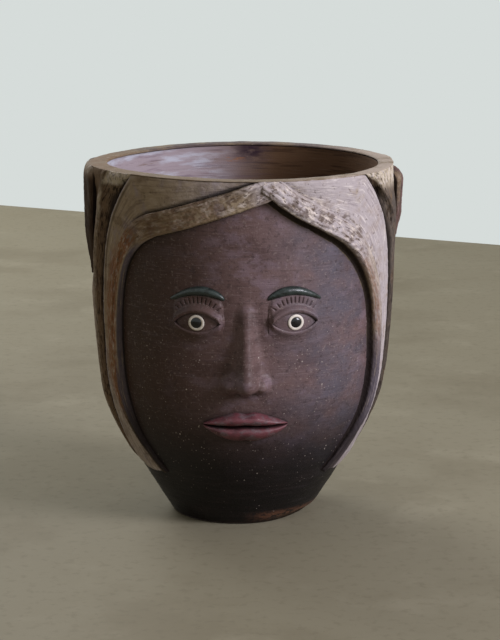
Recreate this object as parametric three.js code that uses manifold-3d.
// A terracotta planter in the shape of a head: a thrown pot with a shawl and a face applied in clay.
// Millimetres, +Z up. The origin is the centre of the foot, and the face looks along -Y.

import * as THREE from "three";
import { mergeVertices } from "three/addons/utils/BufferGeometryUtils.js";
import Module from "manifold-3d";

const wasm = await Module();
wasm.setup();

// Pot
const HEIGHT = 460;
const FOOT_RADIUS = 90;
const SHOULDER_RADIUS = 187.5; // outside of the wall under the rim
const FLARE_ANGLE = 32; // degrees that the wall leans out at the foot
const FLARE_REACH = 168; // length of the wall that keeps this lean
const UPRIGHT_ANGLE = 1.8; // degrees that the wall leans out under the rim
const UPRIGHT_REACH = 325; // length of the wall that stays nearly upright
const WALL_THICKNESS = 11;
const FLOOR_THICKNESS = 22;
const WALL_SEAT = 10; // ledge of the floor that the wall stands on, above the ground
const FOOT_BEVEL = 3;
const DRAIN_RADIUS = 14;
const RIM_HEIGHT = 4;
const RIM_OVERHANG = 8.5; // rim past the outside of the wall
const RIM_LIP = 2; // rim past the inside of the wall
const RIM_ROUND = 3;
const SLIP = 0.3; // joint of slip between two pieces of clay
const SINK = 6; // depth to which an applied piece is made before it is trimmed to its seat

// Shawl
const PARTING_DROP = 23; // parting below the top of the wall
const PARTING_ANGLE = 7; // degrees from the front
const TAIL_HEIGHT = 72; // ends of the hem above the ground
const SHAWL_BOTTOM = 80; // lower edge at the sides and the back
const PANEL_THICKNESS = 9;
const HEM_WIDTH = 26; // on the forehead
const HEM_SIDE_WIDTH = { left: 0.74, right: 1 }; // down the side, as a share of the width on the forehead
const HEM_TAIL_WIDTH = 9;
const HEM_RISE = 6.5; // on top of the panel
const HEM_LAP = 14; // panel under the hem
const FOLD_RISE = 4.5; // back edge of a side fold, on top of the panel
const FOLD_LAP = 15; // back panel under the side fold
const FOLD_VALLEY = 4; // hollow across the back part of a side fold
const FOLD_BACK_ANGLE = 107; // degrees from the front to the back edge of a side fold
const OUTER_FOLD_THICKNESS = 4; // on top of the side fold
const OUTER_FOLD_FRONT = 76; // degrees from the front
const OUTER_FOLD_BACK = 103;
const OUTER_FOLD_DROP = { left: 12, right: 9 }; // below the top of the wall
const OUTER_FOLD_LENGTH = { left: 128, right: 84 };
const OUTER_FOLD_TIP = 0.3; // width of the lower end as a share of the top
const OUTER_FOLD_THINNING = 1.5; // at the lower end
const BACK_THICKNESS = 9;
const BACK_RIDGE = 5; // height of the drapes on the back panels
const BACK_RIDGES = 5; // drapes across the back, with one along the seam
const TAIL_THICKNESS = 4; // panels at the lower edge of the shawl

// Shares of the way down to the tail that shape the shawl
const LEVEL_START = 0.08; // stretch of a hem that starts as if level
const HEM_TURN_START = 0.3; // from here the hem turns from the forehead to the side
const HEM_TURN_END = 0.48;
const HEM_TAPER_START = 0.75;
const THINNING_START = 0.72;
const PANEL_END = 0.99; // stretch of the hem that has the panel under it
const VALLEY_START = 0.2; // down to here the hollow of a side fold is deepest
const VALLEY_END = 0.8;
const RIDGE_START = 0.25; // down to here the drapes of the back rise

// Edge of the hem against the face: degrees from the front, then the share of the way down to the tail
const HEM_EDGE = {
  left: [
    [8, 0.0505], [24, 0.096], [40, 0.1435], [50.8, 0.233], [56.5, 0.382],
    [58.8, 0.57], [58.5, 0.72], [55, 0.858], [49.7, 1],
  ],
  right: [
    [14, 0.05], [27, 0.108], [39, 0.168], [49.2, 0.246], [57.6, 0.359],
    [62.4, 0.515], [64.4, 0.66], [62, 0.785], [55, 0.886], [50.5, 1],
  ],
};
const HEM_POINTS_UNDER_RIM = 3; // first points of the hem, which face the rim and not the side fold
// Front edge of the side fold, from the rim to the tail in the same way
const FOLD_EDGE = {
  left: [[46, 0], [61, 0.172], [68.7, 0.42], [71.6, 0.64], [74, 0.8], [74, 1]],
  right: [[49.5, 0], [67, 0.172], [77.3, 0.4], [79, 0.64], [79, 0.82], [77, 1]],
};
// Sections of the hems: height on top of the panel as a share of the rise, from the face outwards
const HEM_SECTION = {
  left: { forehead: [-0.15, 0.37, 0.37, 0.55, 0.86, 0.46], side: [-0.15, 0.38, 0.43, 0.43, 0.38, 0.31] },
  right: { forehead: [0.3, 0.97, 0.86, 0.58, 0.36, 0.31], side: [0.23, 0.71, 0.65, 0.42, 0.31, 0.28] },
};
// Columns of the front part of a side fold, in degrees behind its front edge
const FOLD_COLUMNS = [0, 3.5, 7, 10.5, 14, 17.5];
// Sections of this part, from a groove beside the panel to a roll: share of the way down, then the distance
// out from the wall at each column. The left fold starts in a knot, the right one in a lapel that slants back.
const FOLD_SECTION = {
  left: [
    { share: 0, proud: [8.5, 12.5, 12.5, 10.5, 10, 12.5] },
    { share: 0.04, proud: [3, 6.5, 9, 7, 12, 12.5] },
    { share: 0.09, proud: [3, 3, 4.5, 10.5, 13, 12.5] },
    { share: 0.17, proud: [3, 3, 11, 13, 12.5, 12.5] },
    { share: 1, proud: [3, 3, 11, 13, 12.5, 12.5] },
  ],
  right: [
    { share: 0, proud: [6, 12, 11.5, 11, 11, 11] },
    { share: 0.085, proud: [3, 5, 13.5, 12.5, 12, 12] },
    { share: 0.17, proud: [3, 4.5, 6, 13, 14.5, 14.5] },
    { share: 0.24, proud: [3, 6, 8.5, 11.5, 14, 15.5] },
    { share: 0.4, proud: [3, 8, 12.5, 15.5, 15.5, 14.5] },
    { share: 1, proud: [3, 8, 12.5, 15.5, 15.5, 14.5] },
  ],
};
const FOLD_BACK_STEPS = 3; // columns of the back part of a side fold

// Face: thirds from the parting to the brow, the base of the nose and the chin
const CHIN_HEIGHT = 72;
const EYE_WIDTH = 60;
const EYE_HEIGHT = 26;
const EYE_SPACING = 120; // pupil to pupil, round the wall
const EYE_BULGE = 6;
const EYE_ABOVE = 0.54; // share of the eye's height above its corners
const UPPER_LID_WIDTH = 8;
const UPPER_LID_THICKNESS = 9;
const LOWER_LID_WIDTH = 6;
const LOWER_LID_THICKNESS = 7;
const LID_LAP = 2; // lids over the eyeball
const CANTHUS = 2; // height of the almond's corners
const IRIS_RADIUS = 10;
const PUPIL_RADIUS = 6.5;
const IRIS_PROUD = 1.2; // above the eyeball
const PUPIL_PROUD = 2.2;
const SOCKET_DEPTH = 3;
const LASH_COUNT = 11;
const LASH_LENGTH = 9;
const LASH_WIDTH = 1.6;
const LASH_DEPTH = 1.4;
const LASH_CLEARANCE = 2.5; // above the upper lid
const LASH_FAN = 34; // degrees that the outermost strokes lean
const BROW_INNER = 26; // from the middle of the face, round the wall
const BROW_OUTER = 98;
const BROW_HEIGHT = 12;
const BROW_ARCH = 11;
const BROW_THICKNESS = 7;
const NOSE_PROUD = 28;
const NOSE_ROOT_RISE = 24; // above the eyes
const NOSE_ROOT_WIDTH = 15;
const NOSE_BALL_WIDTH = 42;
const NOSE_ROOT_PROUD = 5;
const NOSE_BALL = 0.86; // share of the way down to the ball
const WING_WIDTH = 25;
const WING_HEIGHT = 26;
const WING_PROUD = 18;
const WING_SPREAD = 18; // middle of a wing from the middle of the nose
const MOUTH_WIDTH = 106;
const MOUTH_GAP = 1.2;
const MOUTH_SAG = 2.5; // mouth line below its corners
const UPPER_LIP_HEIGHT = 17;
const LIP_BOW = 0.2; // dip in the middle of the upper lip, as a share of its height
const LOWER_LIP_HEIGHT = 20;
const LIP_THICKNESS = 14;
const LIP_CORNER = 2; // height of a lip at the corner of the mouth
const BOW_SPREAD = 0.07; // share of the mouth that the dip takes
const EDGE_PROUD = 2; // least height of an applied piece at its edge

// Fineness of the surfaces
const TURN_STEPS = 40;
const BEAD_STEPS = 16;
const ROUND_STEPS = 2;
const WALL_LEVELS = 9;

// Levels that follow from the sizes above
const WALL_TOP = HEIGHT - RIM_HEIGHT;
const SHAWL_TOP = WALL_TOP - SLIP;
const PARTING_HEIGHT = WALL_TOP - PARTING_DROP;
const FACE_LENGTH = PARTING_HEIGHT - CHIN_HEIGHT;
const BROW_LEVEL = PARTING_HEIGHT - FACE_LENGTH / 3;
const NOSE_LEVEL = PARTING_HEIGHT - (2 * FACE_LENGTH) / 3;
const EYE_LEVEL = BROW_LEVEL - FACE_LENGTH / 12;
const MOUTH_LEVEL = NOSE_LEVEL - FACE_LENGTH / 9;
const SIDES = { left: -1, right: 1 };

const { degToRad, lerp, radToDeg, smoothstep } = THREE.MathUtils;

// Materials
function clay(colour, roughness) {
  return new THREE.MeshStandardMaterial({ color: colour, roughness, metalness: 0 });
}
const FACE_CLAY = clay(0x4b3a3c, 0.75);
const RIM_CLAY = clay(0x6f635d, 0.8);
const SHAWL_CLAY = clay(0x8b8079, 0.85);
const FOLD_CLAY = clay(0x655650, 0.85);
const LIP_STAIN = clay(0x623a40, 0.6);
const BROW_GLAZE = clay(0x1f2522, 0.35);
const WHITE_SLIP = clay(0xd8d2c6, 0.5);
const BLACK_GLAZE = clay(0x100e0e, 0.25);

// Outline of the wall, from the foot to under the rim, as radius and height
const lean = (angle, reach) => {
  const radians = degToRad(angle);
  return new THREE.Vector2(Math.sin(radians), Math.cos(radians)).multiplyScalar(reach);
};
const foot = new THREE.Vector2(FOOT_RADIUS, 0);
const shoulder = new THREE.Vector2(SHOULDER_RADIUS, WALL_TOP);
const wallCurve = new THREE.CubicBezierCurve(
  foot,
  foot.clone().add(lean(FLARE_ANGLE, FLARE_REACH)),
  shoulder.clone().sub(lean(UPRIGHT_ANGLE, UPRIGHT_REACH)),
  shoulder,
);

// Radius of the outside of the wall at a height, found by halving the curve
function wallRadius(height) {
  const halvings = 40;
  let low = 0;
  let high = 1;
  for (let step = 0; step < halvings; step += 1) {
    const middle = (low + high) / 2;
    if (wallCurve.getPoint(middle).y < height) {
      low = middle;
    } else {
      high = middle;
    }
  }
  return wallCurve.getPoint(low).x;
}

// A point standing proud of the wall, at an angle from the front in radians
function onWall(angle, height, proud) {
  const radius = wallRadius(height) + proud;
  return [radius * Math.sin(angle), -radius * Math.cos(angle), height];
}

// Solids and cuts
function solidOf(geometry) {
  const bare = geometry.clone();
  bare.deleteAttribute("normal");
  bare.deleteAttribute("uv");
  const merged = mergeVertices(bare);
  const mesh = new wasm.Mesh({
    numProp: 3,
    vertProperties: merged.attributes.position.array,
    triVerts: new Uint32Array(merged.index.array),
  });
  return new wasm.Manifold(mesh);
}

function geometryOf(solid) {
  const { vertProperties, triVerts } = solid.getMesh();
  const geometry = new THREE.BufferGeometry();
  geometry.setAttribute("position", new THREE.BufferAttribute(vertProperties, 3));
  geometry.setIndex(new THREE.BufferAttribute(triVerts, 1));
  geometry.computeVertexNormals();
  return geometry;
}

const trim = (solid, ...cutters) => cutters.reduce((left, cutter) => left.subtract(cutter), solid);

// A ring or disc turned about an upright axis, from [radius, height] points that run anticlockwise
function turned(points, steps = TURN_STEPS) {
  const outline = points.map(([radius, height]) => new THREE.Vector2(radius, height));
  outline.push(outline[0].clone());
  return new THREE.LatheGeometry(outline, steps).rotateX(Math.PI / 2);
}

function wallOutline(bottom, top, proud) {
  return Array.from({ length: WALL_LEVELS + 1 }, (_, step) => {
    const height = lerp(bottom, top, step / WALL_LEVELS);
    return [wallRadius(height) + proud, height];
  });
}

// Floor, wall and rim
function floorDisc() {
  const inside = (height) => wallRadius(height) - WALL_THICKNESS - SLIP;
  return turned([
    [DRAIN_RADIUS, 0],
    [FOOT_RADIUS - FOOT_BEVEL, 0],
    [wallRadius(FOOT_BEVEL), FOOT_BEVEL],
    [wallRadius(WALL_SEAT), WALL_SEAT],
    [inside(WALL_SEAT), WALL_SEAT],
    [inside(FLOOR_THICKNESS), FLOOR_THICKNESS],
    [DRAIN_RADIUS, FLOOR_THICKNESS],
  ]);
}

const wallBottom = WALL_SEAT + SLIP;

function wallShell() {
  const outside = wallOutline(wallBottom, SHAWL_TOP, 0);
  const inside = wallOutline(wallBottom, SHAWL_TOP, -WALL_THICKNESS).reverse();
  return solidOf(turned([...outside, ...inside]));
}

// The space that the wall takes from an applied piece, with its joint
function wallSpace() {
  const outside = wallOutline(wallBottom, SHAWL_TOP, SLIP);
  return solidOf(turned([[0, wallBottom], ...outside, [0, SHAWL_TOP]]));
}

function rimCoil(grow = 0) {
  const outer = SHOULDER_RADIUS + RIM_OVERHANG;
  const inner = SHOULDER_RADIUS - WALL_THICKNESS - RIM_LIP;
  const crown = HEIGHT - RIM_ROUND;
  const bottom = WALL_TOP - grow;
  const section = new THREE.Path();
  section.moveTo(inner - grow, bottom);
  section.lineTo(outer + grow, bottom);
  section.absarc(outer - RIM_ROUND, crown, RIM_ROUND + grow, 0, Math.PI / 2);
  section.absarc(inner + RIM_ROUND, crown, RIM_ROUND + grow, Math.PI / 2, Math.PI);
  return turned(section.getPoints(ROUND_STEPS).map((point) => [point.x, point.y]));
}

// Applied clay: a grid of across by along cells. place(u, v) gives the angle in radians and the height of
// a point, and proud(u, v) how far it stands out from the wall. The piece is made down into the wall, and
// trimmed to its seat later. A grown copy leaves room for a joint all round.
function clayPiece({ across, along, place, proud }, grow = 0) {
  const nodeAt = (i, j) => place(i / across, j / along);
  const inward = (index, count) => THREE.MathUtils.clamp(index, 1, count - 1);
  const spread = (i, j) => {
    const [angle, height] = nodeAt(i, j);
    const [innerAngle, innerHeight] = nodeAt(inward(i, across), inward(j, along));
    const radius = wallRadius(height);
    const away = new THREE.Vector2((angle - innerAngle) * radius, height - innerHeight).setLength(grow);
    return [angle + away.x / radius, height + away.y];
  };
  const sheet = (depthAt) => {
    const points = [];
    for (let j = 0; j <= along; j += 1) {
      for (let i = 0; i <= across; i += 1) {
        points.push(...onWall(...spread(i, j), depthAt(i / across, j / along)));
      }
    }
    return points;
  };
  const front = sheet((u, v) => proud(u, v) + grow);
  const back = sheet(() => -SINK - grow);
  const geometry = new THREE.BufferGeometry();
  geometry.setAttribute("position", new THREE.Float32BufferAttribute([...front, ...back], 3));
  geometry.setIndex(sheetTriangles(across, along));
  const solid = solidOf(geometry);
  if (solid.volume() > 0) {
    return solid;
  }
  geometry.setIndex(sheetTriangles(across, along, true));
  return solidOf(geometry);
}

// Triangles of a closed sheet: front grid, back grid and the four edges between them
function sheetTriangles(across, along, turnedRound = false) {
  const triangles = [];
  const quad = (a, b, c, d) => triangles.push(...(turnedRound ? [a, c, b, a, d, c] : [a, b, c, a, c, d]));
  const front = (i, j) => j * (across + 1) + i;
  const back = (i, j) => front(i, j) + (across + 1) * (along + 1);
  for (let j = 0; j < along; j += 1) {
    for (let i = 0; i < across; i += 1) {
      quad(front(i, j), front(i + 1, j), front(i + 1, j + 1), front(i, j + 1));
      quad(back(i, j), back(i, j + 1), back(i + 1, j + 1), back(i + 1, j));
    }
    quad(front(0, j), front(0, j + 1), back(0, j + 1), back(0, j));
    quad(front(across, j + 1), front(across, j), back(across, j), back(across, j + 1));
  }
  for (let i = 0; i < across; i += 1) {
    quad(front(i + 1, 0), front(i, 0), back(i, 0), back(i + 1, 0));
    quad(front(i, along), front(i + 1, along), back(i + 1, along), back(i, along));
  }
  return triangles;
}

// Shawl edges as curves of angle in degrees against height
function edgeCurve(points, top) {
  return new THREE.SplineCurve(
    points.map(([angle, share]) => new THREE.Vector2(angle, lerp(top, TAIL_HEIGHT, share))),
  );
}

// The two hems meet at the parting, which lies to the right of the middle
function hemCurve(side) {
  const joint = radToDeg(SLIP / SHOULDER_RADIUS);
  const start = [SIDES[side] * PARTING_ANGLE + joint, 0];
  return edgeCurve([start, ...HEM_EDGE[side]], PARTING_HEIGHT);
}

const foldCurve = (side) => edgeCurve(FOLD_EDGE[side], SHAWL_TOP);

// A point of a curve moved away from the face by a distance along the wall, and no higher than the rim.
// The curve starts as if level, so that its end is cut upright.
function beside(curve, share, distance) {
  const point = curve.getPoint(share);
  const radius = wallRadius(point.y);
  const heading = curve.getTangent(share);
  const fall = heading.y * smoothstep(share, 0, LEVEL_START);
  const along = new THREE.Vector2(degToRad(heading.x) * radius, fall).normalize();
  const angle = degToRad(point.x) - (along.y * distance) / radius;
  return [angle, Math.min(point.y + along.x * distance, SHAWL_TOP)];
}

const blend = ([angle, height], [otherAngle, otherHeight], share) => [
  lerp(angle, otherAngle, share),
  lerp(height, otherHeight, share),
];
const mirrored = (side, place) => (u, v) => {
  const [angle, height] = place(u, v);
  return [SIDES[side] * angle, height];
};
const tapered = (thickness, share) => lerp(thickness, TAIL_THICKNESS, smoothstep(share, THINNING_START, 1));

// The panel runs from under the hem to the rim, and lower down to the side fold
function shawlPanel(side) {
  const hem = hemCurve(side);
  const fold = foldCurve(side);
  const rimShare = HEM_POINTS_UNDER_RIM / HEM_EDGE[side].length;
  const parting = [degToRad(hem.getPoint(0).x), SHAWL_TOP];
  const besideFold = (share) => {
    const edge = fold.getPoint(share);
    return [degToRad(edge.x), edge.y];
  };
  const outerEdge = (v) => {
    if (v < rimShare) {
      return blend(parting, besideFold(0), v / rimShare);
    }
    return besideFold((v - rimShare) / (1 - rimShare));
  };
  return {
    across: 5,
    along: 24,
    place: mirrored(side, (u, v) => {
      const share = v * PANEL_END;
      return blend(beside(hem, share, HEM_LAP * hemTaper(share)), outerEdge(share), u);
    }),
    proud: (u, v) => tapered(PANEL_THICKNESS, v),
  };
}

// The hem narrows over its last stretch
const hemTaper = (share) => lerp(1, HEM_TAIL_WIDTH / HEM_WIDTH, smoothstep(share, HEM_TAPER_START, 1));

// The hem: a turned-back band on the forehead that becomes a roll down the side
function hemBand(side) {
  const hem = hemCurve(side);
  const { forehead, side: down } = HEM_SECTION[side];
  const last = forehead.length - 1;
  const turn = (share) => smoothstep(share, HEM_TURN_START, HEM_TURN_END);
  const width = (share) => HEM_WIDTH * lerp(1, HEM_SIDE_WIDTH[side], turn(share)) * hemTaper(share);
  return {
    across: last,
    along: 24,
    place: mirrored(side, (u, v) => beside(hem, v, width(v) * u)),
    proud: (u, v) => {
      const column = Math.round(u * last);
      return tapered(PANEL_THICKNESS, v) + HEM_RISE * lerp(forehead[column], down[column], turn(v));
    },
  };
}

// How far one column of a side fold stands out, between the sections above and below it
function foldProud(sections, column, v) {
  const next = Math.max(1, sections.findIndex(({ share }) => share >= v));
  const above = sections[next - 1];
  const below = sections[next];
  const way = smoothstep(v, above.share, below.share);
  return lerp(above.proud[column], below.proud[column], way);
}

// The side fold hangs from the rim behind the panel: its front part follows the sections, and its back part
// runs on to the back edge with a hollow that flattens towards the tail
function sideFold(side) {
  const fold = foldCurve(side);
  const back = degToRad(FOLD_BACK_ANGLE);
  const last = FOLD_COLUMNS.length - 1;
  const across = last + FOLD_BACK_STEPS;
  const columnOf = (u) => Math.round(u * across);
  const backShare = (u) => Math.max(0, columnOf(u) - last) / FOLD_BACK_STEPS;
  return {
    across,
    along: 24,
    place: mirrored(side, (u, v) => {
      const front = fold.getPoint(v);
      const column = degToRad(front.x + FOLD_COLUMNS[Math.min(columnOf(u), last)]);
      const angle = lerp(column, back, backShare(u));
      const way = (angle - degToRad(front.x)) / (back - degToRad(front.x));
      return [angle, lerp(front.y, lerp(SHAWL_TOP, SHAWL_BOTTOM, v), way)];
    }),
    proud: (u, v) => {
      const front = foldProud(FOLD_SECTION[side], Math.min(columnOf(u), last), v);
      const valley = Math.sin(Math.PI * backShare(u)) ** 2 * (1 - smoothstep(v, VALLEY_START, VALLEY_END));
      const run = lerp(front, PANEL_THICKNESS + FOLD_RISE, backShare(u)) - FOLD_VALLEY * valley;
      return tapered(run, v);
    },
  };
}

// The outer fold is a short lug on the side fold, drawn in towards its lower end
function outerFold(side) {
  const top = WALL_TOP - OUTER_FOLD_DROP[side];
  const front = degToRad(OUTER_FOLD_FRONT);
  const back = degToRad(OUTER_FOLD_BACK);
  const middle = (front + back) / 2;
  const full = PANEL_THICKNESS + FOLD_RISE + OUTER_FOLD_THICKNESS;
  return {
    across: 6,
    along: 8,
    place: mirrored(side, (u, v) => {
      const drawn = lerp(1, OUTER_FOLD_TIP, v * v);
      return [middle + (lerp(front, back, u) - middle) * drawn, top - v * OUTER_FOLD_LENGTH[side]];
    }),
    proud: (u, v) => {
      const edge = 1 - Math.sin(Math.PI * u) ** 0.5;
      return full - (OUTER_FOLD_THICKNESS / 2) * edge - OUTER_FOLD_THINNING * v ** 3;
    },
  };
}

// The back panel runs from under the side fold to a seam in the middle of the back
function backPanel(side) {
  const front = degToRad(FOLD_BACK_ANGLE) - FOLD_LAP / SHOULDER_RADIUS;
  const seam = Math.PI - SLIP / FOOT_RADIUS;
  return {
    across: 12,
    along: 8,
    place: mirrored(side, (u, v) => [lerp(front, seam, u), lerp(SHAWL_TOP, SHAWL_BOTTOM, v)]),
    proud: (u, v) => {
      const ridge = Math.sin((Math.PI / 2) * BACK_RIDGES * u) ** 2 * smoothstep(v, 0, RIDGE_START);
      return tapered(BACK_THICKNESS + BACK_RIDGE * ridge, v);
    },
  };
}

// Face pieces are laid out in millimetres round the wall from the middle of the face
const onFace = (distance, height) => [distance / wallRadius(height), height];

// Half of an almond: height above or below the line between its corners
const almond = (u, height) => CANTHUS / 2 + height * Math.sin(Math.PI * u) ** 0.8;
const upperEyeEdge = (u) => EYE_LEVEL + almond(u, EYE_HEIGHT * EYE_ABOVE);
const lowerEyeEdge = (u) => EYE_LEVEL - almond(u, EYE_HEIGHT * (1 - EYE_ABOVE));
const eyeSpan = (u) => EYE_SPACING / 2 + (u - 0.5) * EYE_WIDTH;

function eyeball(side) {
  return {
    across: 10,
    along: 5,
    place: mirrored(side, (u, v) => onFace(eyeSpan(u), lerp(lowerEyeEdge(u), upperEyeEdge(u), v))),
    proud: (u, v) => {
      const dome = (Math.sin(Math.PI * u) * Math.sin(Math.PI * v)) ** 0.6;
      return EDGE_PROUD + (EYE_BULGE - EDGE_PROUD) * dome;
    },
  };
}

// A lid follows one edge of the almond, over the rim of the eyeball
function lid(side, edge, width, thickness) {
  const lap = -Math.sign(width) * LID_LAP;
  return {
    across: 10,
    along: 3,
    place: mirrored(side, (u, v) => onFace(eyeSpan(u), edge(u) + lerp(lap, width, v))),
    proud: (u, v) => thickness - ((thickness - EDGE_PROUD) / 2) * (1 - Math.sin(Math.PI * v)),
  };
}
const upperLid = (side) => lid(side, upperEyeEdge, UPPER_LID_WIDTH, UPPER_LID_THICKNESS);
const lowerLid = (side) => lid(side, lowerEyeEdge, -LOWER_LID_WIDTH, LOWER_LID_THICKNESS);

// Beads and rings of the eye are turned on an axis that points straight out of the wall
function eyeTurning(side, points) {
  const [angle, height] = onFace((SIDES[side] * EYE_SPACING) / 2, EYE_LEVEL);
  const turning = turned(points, BEAD_STEPS).rotateX(Math.PI / 2).rotateZ(angle);
  return turning.translate(...onWall(angle, height, 0));
}

const socketFloor = EYE_BULGE - SOCKET_DEPTH;

// Room for the ring and the pupil, through the eyeball and past the lids
function eyeSocket(side) {
  const mouth = EYE_BULGE + UPPER_LID_THICKNESS;
  const radius = IRIS_RADIUS + SLIP;
  return eyeTurning(side, [[0, socketFloor], [radius, socketFloor], [radius, mouth], [0, mouth]]);
}

function irisRing(side) {
  const top = EYE_BULGE + IRIS_PROUD;
  const hole = PUPIL_RADIUS + SLIP;
  const bottom = socketFloor + SLIP;
  return eyeTurning(side, [
    [hole, bottom],
    [IRIS_RADIUS, bottom],
    [IRIS_RADIUS, EYE_BULGE],
    [(IRIS_RADIUS + hole) / 2, top],
    [hole, top],
  ]);
}

function pupil(side) {
  const bottom = socketFloor + SLIP;
  const crown = EYE_BULGE + PUPIL_PROUD;
  return eyeTurning(side, [
    [0, bottom],
    [PUPIL_RADIUS, bottom],
    [PUPIL_RADIUS, EYE_BULGE + IRIS_PROUD],
    [PUPIL_RADIUS * 0.6, crown - PUPIL_PROUD * 0.2],
    [0, crown],
  ]);
}

// Lashes are strokes cut into the wall in a fan over the upper lid
function lashes(side) {
  const strokes = [];
  for (let index = 0; index < LASH_COUNT; index += 1) {
    const share = (index + 0.5) / LASH_COUNT;
    const fan = degToRad(LASH_FAN) * (2 * share - 1);
    const root = upperEyeEdge(share) + UPPER_LID_WIDTH + LASH_CLEARANCE;
    const distance = SIDES[side] * (eyeSpan(share) + (Math.sin(fan) * LASH_LENGTH) / 2);
    const [angle, height] = onFace(distance, root + (Math.cos(fan) * LASH_LENGTH) / 2);
    const stroke = new THREE.BoxGeometry(LASH_WIDTH, 2 * LASH_DEPTH, LASH_LENGTH);
    stroke.rotateY(SIDES[side] * fan).rotateZ(angle).translate(...onWall(angle, height, 0));
    strokes.push(solidOf(stroke));
  }
  return strokes;
}

function brow(side) {
  const thickness = (u) => CANTHUS + (BROW_HEIGHT - CANTHUS) * Math.sin(Math.PI * u ** 0.7) ** 0.7;
  return {
    across: 12,
    along: 4,
    place: mirrored(side, (u, v) => {
      const level = BROW_LEVEL + BROW_ARCH * Math.sin(Math.PI * u ** 1.3);
      return onFace(lerp(BROW_INNER, BROW_OUTER, u), level + (v - 0.5) * thickness(u));
    }),
    proud: (u, v) => EDGE_PROUD + (BROW_THICKNESS - EDGE_PROUD) * Math.sin(Math.PI * v),
  };
}

// The nose widens and rises from the root to the ball, and its base is cut level
function nose() {
  const swell = (v) => smoothstep(v, 0, NOSE_BALL);
  const drop = (v) => smoothstep(v, NOSE_BALL, 1);
  const width = (v) => lerp(NOSE_ROOT_WIDTH, NOSE_BALL_WIDTH, swell(v) ** 1.6) * (1 - 0.18 * drop(v));
  const crest = (v) => lerp(NOSE_ROOT_PROUD, NOSE_PROUD, swell(v)) * (1 - 0.35 * drop(v));
  return {
    across: 10,
    along: 14,
    place: (u, v) => onFace((u - 0.5) * width(v), lerp(EYE_LEVEL + NOSE_ROOT_RISE, NOSE_LEVEL, v)),
    proud: (u, v) => EDGE_PROUD + (crest(v) - EDGE_PROUD) * Math.sin(Math.PI * u) ** 0.8,
  };
}

// A nostril wing is a rounded pad of clay against the ball of the nose
function nostrilWing(side) {
  return {
    across: 6,
    along: 8,
    place: mirrored(side, (u, v) => {
      const bulge = 0.55 + 0.45 * Math.sin(Math.PI * v);
      const distance = WING_SPREAD + (u - 0.5) * WING_WIDTH * bulge;
      return onFace(distance, NOSE_LEVEL + v * WING_HEIGHT);
    }),
    proud: (u, v) => {
      const dome = Math.sin(Math.PI * u) ** 0.7 * Math.sin(Math.PI * lerp(0.25, 1, v)) ** 0.7;
      return EDGE_PROUD + (WING_PROUD - EDGE_PROUD) * dome;
    },
  };
}

// Lips on both sides of a gently sagging mouth line
const mouthSpan = (u) => (u - 0.5) * MOUTH_WIDTH;
const mouthLine = (u) => MOUTH_LEVEL - MOUTH_SAG * Math.sin(Math.PI * u) ** 2;
const lipProud = (u, v) => {
  const roll = Math.sin(Math.PI * lerp(0.2, 1, v)) ** 0.8;
  return EDGE_PROUD + (LIP_THICKNESS - EDGE_PROUD) * roll * Math.sin(Math.PI * lerp(0.06, 0.94, u)) ** 0.6;
};

function upperLip() {
  const bow = (u) => 1 - LIP_BOW * Math.exp(-(((u - 0.5) / BOW_SPREAD) ** 2));
  const height = (u) => LIP_CORNER + (UPPER_LIP_HEIGHT - LIP_CORNER) * Math.sin(Math.PI * u) ** 0.9 * bow(u);
  return {
    across: 18,
    along: 5,
    place: (u, v) => onFace(mouthSpan(u), mouthLine(u) + MOUTH_GAP / 2 + v * height(u)),
    proud: lipProud,
  };
}

function lowerLip() {
  const height = (u) => LIP_CORNER + (LOWER_LIP_HEIGHT - LIP_CORNER) * Math.sin(Math.PI * u) ** 0.8;
  return {
    across: 18,
    along: 5,
    place: (u, v) => onFace(mouthSpan(u), mouthLine(u) - MOUTH_GAP / 2 - v * height(u)),
    proud: lipProud,
  };
}

// Assembly: what lies under a piece, with its joint, is cut from it
const planter = new THREE.Group();

function add(name, geometry, material) {
  const mesh = new THREE.Mesh(geometry, material);
  mesh.name = name;
  planter.add(mesh);
}

const wallRoom = wallSpace();
const rimRoom = solidOf(rimCoil(SLIP));
const room = (piece) => clayPiece(piece, SLIP);
const seated = (piece, ...under) => geometryOf(trim(clayPiece(piece), wallRoom, ...under));

add("floor_disc", floorDisc(), FACE_CLAY);
add("wall_shell", geometryOf(trim(wallShell(), ...lashes("left"), ...lashes("right"))), FACE_CLAY);
add("rim_coil", rimCoil(), RIM_CLAY);

for (const side of Object.keys(SIDES)) {
  const panels = [room(shawlPanel(side)), room(backPanel(side))];
  add(`${side}_shawl_panel`, seated(shawlPanel(side)), SHAWL_CLAY);
  add(`${side}_hem_band`, seated(hemBand(side), ...panels), SHAWL_CLAY);
  add(`${side}_back_panel`, seated(backPanel(side)), FOLD_CLAY);
  add(`${side}_side_fold`, seated(sideFold(side), ...panels, room(hemBand(side))), FOLD_CLAY);
  add(`${side}_outer_fold`, seated(outerFold(side), ...panels, room(sideFold(side)), rimRoom), FOLD_CLAY);
}

add("nose", seated(nose()), FACE_CLAY);
add("upper_lip", seated(upperLip()), LIP_STAIN);
add("lower_lip", seated(lowerLip()), LIP_STAIN);

for (const side of Object.keys(SIDES)) {
  const eyeRoom = room(eyeball(side));
  const socket = solidOf(eyeSocket(side));
  add(`${side}_nostril_wing`, seated(nostrilWing(side), room(nose())), FACE_CLAY);
  add(`${side}_brow`, seated(brow(side)), BROW_GLAZE);
  add(`${side}_eyeball`, seated(eyeball(side), socket), FACE_CLAY);
  add(`${side}_upper_lid`, seated(upperLid(side), eyeRoom, socket), FACE_CLAY);
  add(`${side}_lower_lid`, seated(lowerLid(side), eyeRoom, socket, room(upperLid(side))), FACE_CLAY);
  add(`${side}_iris_ring`, irisRing(side), WHITE_SLIP);
  add(`${side}_pupil`, pupil(side), BLACK_GLAZE);
}

export default planter;
